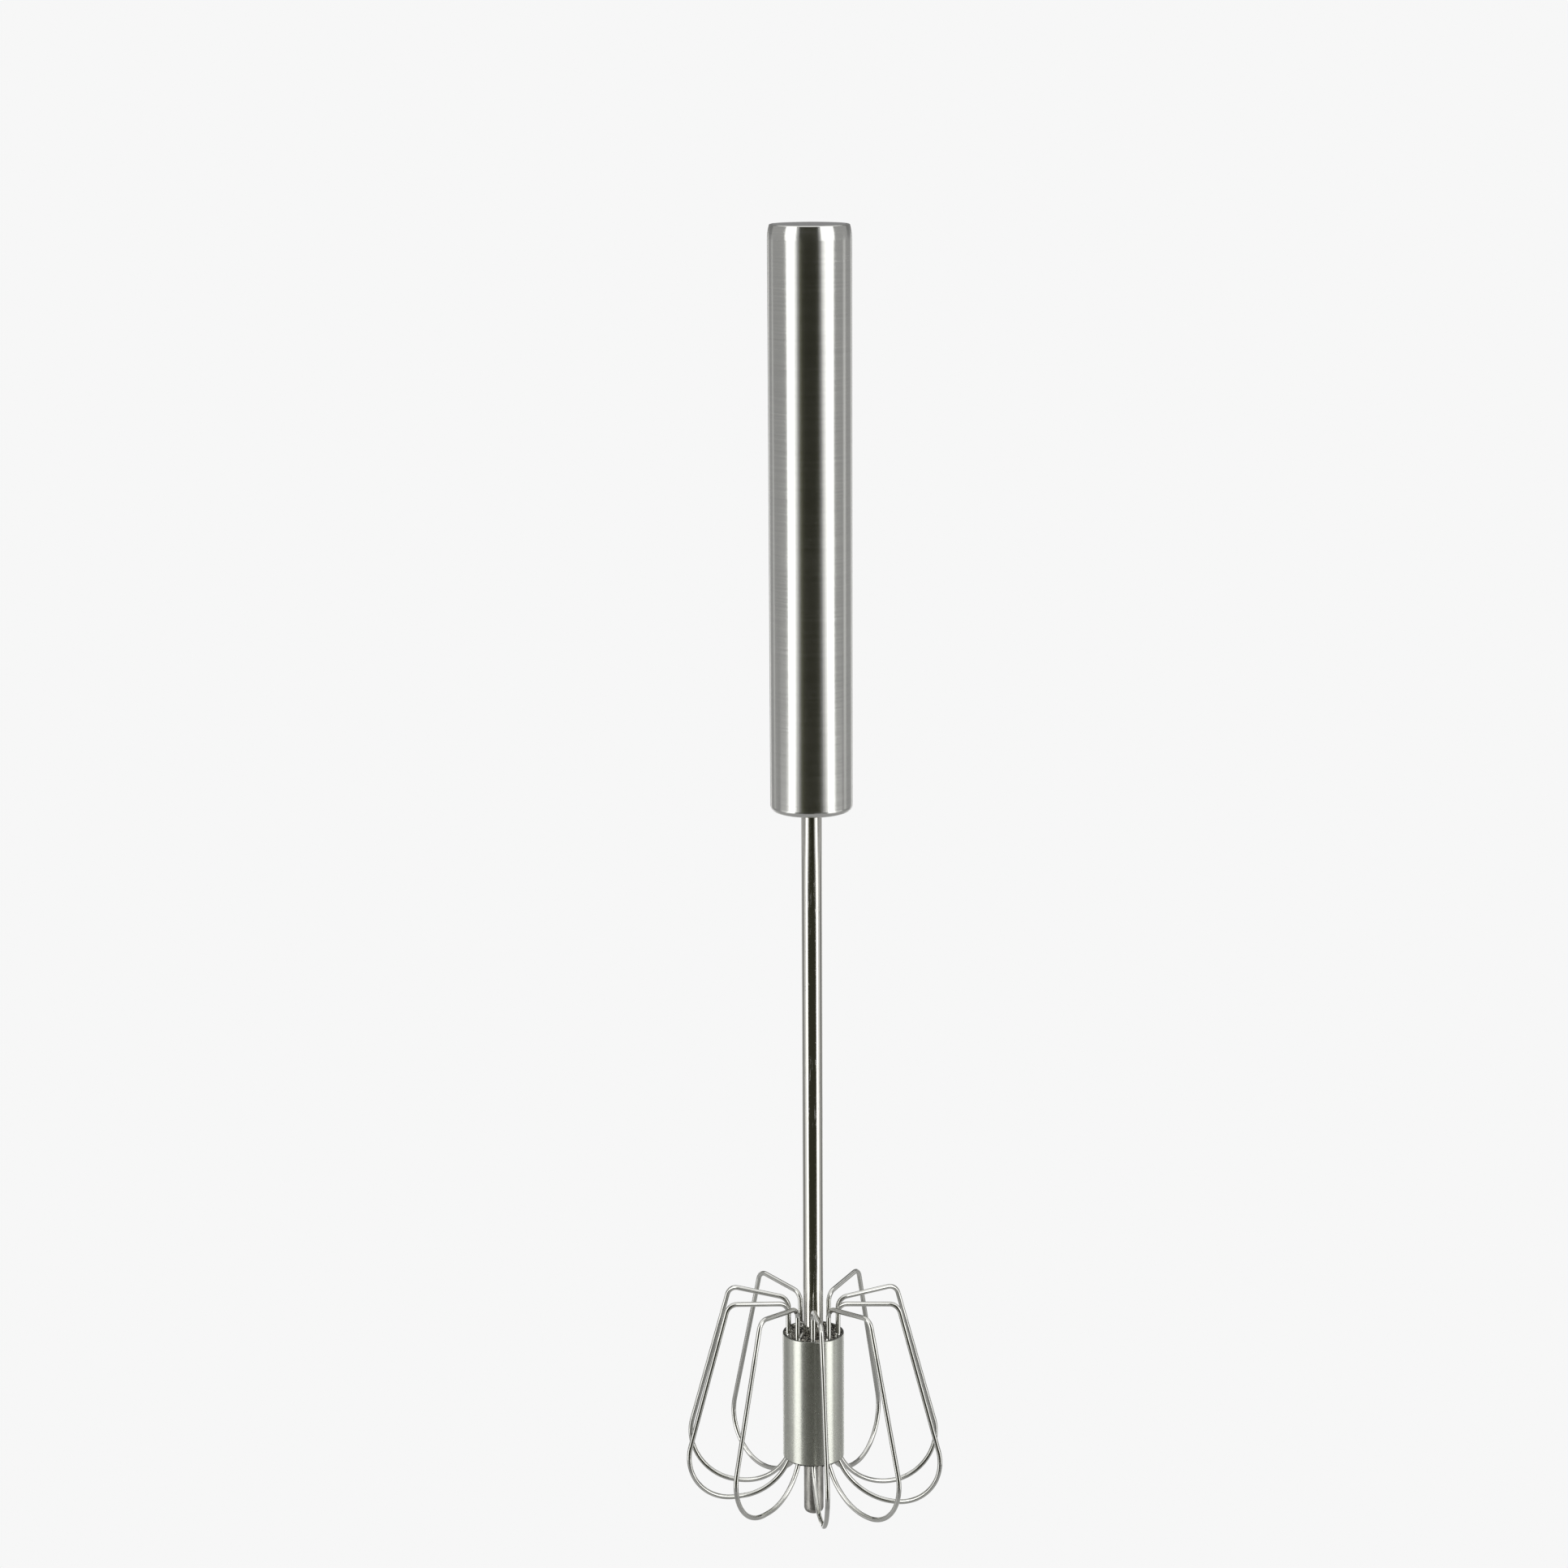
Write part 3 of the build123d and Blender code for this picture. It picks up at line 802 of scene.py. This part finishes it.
class BEATER_OT_binding_ends(bpy.types.Operator):
    """Stand the two loose ends of the binding wire up out of the solder"""

    bl_idname = "beater.binding_ends"
    bl_label = "Binding Ends"

    def execute(self, context):
        sizes = context.scene.beater_sizes
        colour = tuple(context.scene.beater_finishes.wire_steel)
        material = drawn_steel("binding wire", colour)
        surface = HUB_HIGH.z + sizes.fill_thickness
        self.hook(surface, sizes.binding_radius, material)
        self.tail(surface, sizes.binding_radius, material)
        return {"FINISHED"}

    def hook(self, surface, wire, material):
        """The end behind the shaft, curled over into a hook that opens to the right."""
        centre = Vector((-3.3 * MM, 2.9 * MM, surface + 0.9 * MM))
        start_clean()
        bpy.ops.mesh.primitive_torus_add(
            major_segments=30, minor_segments=10, major_radius=0.75 * MM, minor_radius=wire,
            location=centre, rotation=(math.radians(90), 0, 0),
        )
        piece = new_piece("binding_hook")

        def bearing(point):
            """Direction of a point from the hook's centre, in degrees, 0 to the right."""
            return math.degrees(math.atan2(point.z - centre.z, point.x - centre.x))

        select_where(piece, "FACE", lambda face: -96 < bearing(face.calc_center_median()) < 24)
        bpy.ops.mesh.delete(type="FACE")
        select_where(piece, "EDGE", lambda edge: edge.is_boundary and edge.verts[0].co.z < centre.z)
        for step in ((0.25, 0, -0.25), (0.1, 0, -0.5)):
            move = {"value": tuple(number * MM for number in step)}
            bpy.ops.mesh.extrude_edges_move(TRANSFORM_OT_translate=move)
        bpy.ops.mesh.edge_face_add()
        select_where(piece, "EDGE", lambda edge: edge.is_boundary)
        bpy.ops.mesh.edge_face_add()
        recalculate_outwards()
        bpy.ops.object.mode_set(mode="OBJECT")
        apply_modifier(piece, "SUBSURF", levels=1, render_levels=1)
        close_piece(piece, material)

    def tail(self, surface, wire, material):
        """The end in front, a short bar that leans on the shaft with a slight bow."""
        start = Vector((-3.6 * MM, -5.1 * MM, surface - 0.1 * MM))
        end = Vector((-2.55 * MM, -2.3 * MM, surface + 0.85 * MM))
        run = end - start
        start_clean()
        bpy.ops.mesh.primitive_cylinder_add(
            vertices=12, radius=wire * 1.1, depth=run.length, end_fill_type="NGON",
            location=(start + end) / 2, rotation=run.to_track_quat("Z", "Y").to_euler(),
        )
        piece = new_piece("binding_tail")
        select_where(piece, "EDGE", lambda edge: edge.calc_length() > 1.0 * MM)
        bpy.ops.mesh.subdivide(number_cuts=7)
        select_where(
            piece, "VERT", lambda v: 0.2 < (v.co - start).dot(run) / run.length_squared < 0.8
        )
        bpy.ops.transform.translate(value=(-0.07 * MM, 0, 0.07 * MM))
        select_where(piece, "FACE", lambda face: len(face.verts) > 4)
        bpy.ops.mesh.bevel(offset=0.08 * MM, segments=2, affect="EDGES")
        recalculate_outwards()
        bpy.ops.object.mode_set(mode="OBJECT")
        apply_modifier(piece, "SUBSURF", levels=1, render_levels=1)
        close_piece(piece, material)


# ---- operators: the studio ---------------------------------------------------------------
class BEATER_OT_studio(bpy.types.Operator):
    """Set up the pale floor, the light and dark panels and the camera"""

    bl_idname = "beater.studio"
    bl_label = "Studio"

    # Rings of panels round the egg beater: name, low and high as heights in metres, and the
    # panels from azimuth -180 on, each with the azimuth where it ends and its brightness.
    # Azimuth 0 is towards the camera, and positive is to its right.
    RINGS = (
        ("over", 0.06, 1.0, (
            (-126, 0.26), (-71, 0.46), (-38, 2.3), (-30, 0.5), (24, 0.035),
            (31, 0.4), (71, 2.3), (126, 0.46), (180, 0.26),
        )),
        ("handle", -0.38, 0.06, (
            (-165, 0.05), (-150, 0.9), (-127, 0.42), (-121, 0.75), (-66, 0.42), (-43, 2.4),
            (-35, 1.1), (-29, 0.40), (-22, 0.13), (-15, 0.05), (18, 0.03), (25, 0.06),
            (32, 0.22), (39, 0.75), (46, 1.5), (67, 2.4), (103, 0.42), (114, 0.8),
            (150, 0.42), (165, 0.9), (180, 0.05),
        )),
        ("shaft", -0.69, -0.38, (
            (-165, 0.05), (-150, 1.2), (-97, 0.36), (-74, 1.0), (-48, 2.2), (48, 0.045),
            (74, 2.2), (97, 1.0), (150, 0.36), (165, 1.2), (180, 0.05),
        )),
        ("head", -0.80, -0.69, (
            (-165, 0.05), (-150, 1.2), (-84, 0.48), (-50, 2.5), (51, 0.06),
            (78, 2.5), (150, 0.50), (165, 1.2), (180, 0.05),
        )),
        ("foot", -1.05, -0.80, ((-50, 0.42), (50, 0.18), (180, 0.42))),
    )

    def execute(self, context):
        studio = context.scene.beater_studio
        self.surroundings(context.scene, studio)
        self.floor(studio)
        for name, low, high, panels in self.RINGS:
            start = -180
            for index, (end, level) in enumerate(panels):
                label = f"{name}_panel_{index + 1:02d}"
                self.panel(label, (start, end), (low, high), level, studio.panel_distance)
                start = end
        above_floor = CAD_LOW.z - studio.floor_drop + 5 * MM
        self.flat_panel("overhead_panel", size=2.6, height=1.3, level=1.15)
        self.flat_panel("under_panel", size=2.4, height=above_floor, level=0.45)
        self.camera(context.scene, studio)
        return {"FINISHED"}

    def glow(self, name, level):
        """A surface that is evenly bright, and olive if it is one of the dark ones."""
        finish = Finish(name)
        tint = WHITE if level > DARK_LEVEL else OLIVE
        values = {"Color": tint, "Strength": level}
        shader = finish.node("ShaderNodeEmission", None, values)
        finish.node("ShaderNodeOutputMaterial", None, {"Surface": shader})
        return finish.material

    def surroundings(self, scene, studio):
        """An even pale world, shown as it is."""
        world = bpy.data.worlds.new("Pale Studio")
        world.use_nodes = True
        background = world.node_tree.nodes["Background"]
        background.inputs["Color"].default_value = WHITE
        background.inputs["Strength"].default_value = studio.backdrop
        scene.world = world
        scene.view_settings.view_transform = "Standard"
        scene.view_settings.look = "None"

    def floor(self, studio):
        """A plain pale floor, lit as evenly as the world behind it."""
        start_clean()
        height = CAD_LOW.z - studio.floor_drop
        bpy.ops.mesh.primitive_plane_add(size=60, location=(0, 0, height))
        floor = bpy.context.object
        floor.name = "studio_floor"
        floor.data.materials.append(self.glow("pale floor", studio.backdrop))

    def panel(self, name, azimuths, heights, level, distance):
        """An upright panel between two azimuths, seen only in reflections."""
        start_clean()
        start, end = azimuths
        low, high = heights
        middle = math.radians((start + end) / 2)
        width = 2 * distance * math.tan(math.radians((end - start) / 2))
        place = (distance * math.sin(middle), -distance * math.cos(middle), (low + high) / 2)
        upright = (math.radians(90), 0, middle)
        bpy.ops.mesh.primitive_plane_add(size=1, location=place, rotation=upright)
        panel = bpy.context.object
        panel.name = name
        panel.scale = (width, high - low, 1)
        panel.visible_camera = False
        panel.data.materials.append(self.glow(name, level))

    def flat_panel(self, name, size, height, level):
        """A level panel above or below the egg beater, seen only in reflections."""
        start_clean()
        bpy.ops.mesh.primitive_plane_add(size=size, location=(0, 0, height))
        panel = bpy.context.object
        panel.name = name
        panel.visible_camera = False
        panel.data.materials.append(self.glow(name, level))

    def camera(self, scene, studio):
        """A camera a little above the handle's top, looking down at the whisk."""
        start_clean()
        place = Vector(studio.camera_place) + Vector((0, 0, CAD_LOW.z))
        bpy.ops.object.camera_add(location=place)
        camera = bpy.context.object
        down = Matrix.Rotation(math.radians(90) - studio.camera_pitch, 4, "X")
        lean = Matrix.Rotation(studio.camera_lean, 4, "Z")
        camera.rotation_euler = (down @ lean).to_euler()
        camera.data.sensor_width = 36.0
        camera.data.lens = studio.lens
        camera.data.clip_start = 0.01
        camera.data.clip_end = 100.0
        scene.camera = camera


class BEATER_PT_panel(bpy.types.Panel):
    """The egg beater's sizes, colours and steps"""

    bl_idname = "BEATER_PT_panel"
    bl_label = "Egg Beater"
    bl_space_type = "VIEW_3D"
    bl_region_type = "UI"
    bl_category = "Egg Beater"

    def draw(self, context):
        scene = context.scene
        for group in (scene.beater_finishes, scene.beater_sizes, scene.beater_studio):
            box = self.layout.box()
            for name in group.bl_rna.properties.keys():
                if name not in {"rna_type", "name"}:
                    box.prop(group, name)
        for step in STEPS:
            self.layout.operator(step.bl_idname)


GROUPS = (
    ("beater_finishes", BeaterFinishes),
    ("beater_sizes", BeaterSizes),
    ("beater_studio", BeaterStudio),
)
STEPS = (
    BEATER_OT_finish_handle,
    BEATER_OT_finish_shaft,
    BEATER_OT_finish_head,
    BEATER_OT_finish_mechanism,
    BEATER_OT_coil_spring,
    BEATER_OT_solder_fill,
    BEATER_OT_solder_beads,
    BEATER_OT_binding_ends,
    BEATER_OT_studio,
)


def register():
    for name, group in GROUPS:
        bpy.utils.register_class(group)
        setattr(bpy.types.Scene, name, bpy.props.PointerProperty(type=group))
    for step in STEPS:
        bpy.utils.register_class(step)
    bpy.utils.register_class(BEATER_PT_panel)


def unregister():
    bpy.utils.unregister_class(BEATER_PT_panel)
    for step in reversed(STEPS):
        bpy.utils.unregister_class(step)
    for name, group in reversed(GROUPS):
        delattr(bpy.types.Scene, name)
        bpy.utils.unregister_class(group)


def main():
    """Runs every step in order."""
    register()
    for step in STEPS:
        area, name = step.bl_idname.split(".")
        getattr(getattr(bpy.ops, area), name)()


if __name__ == "__main__":
    main()
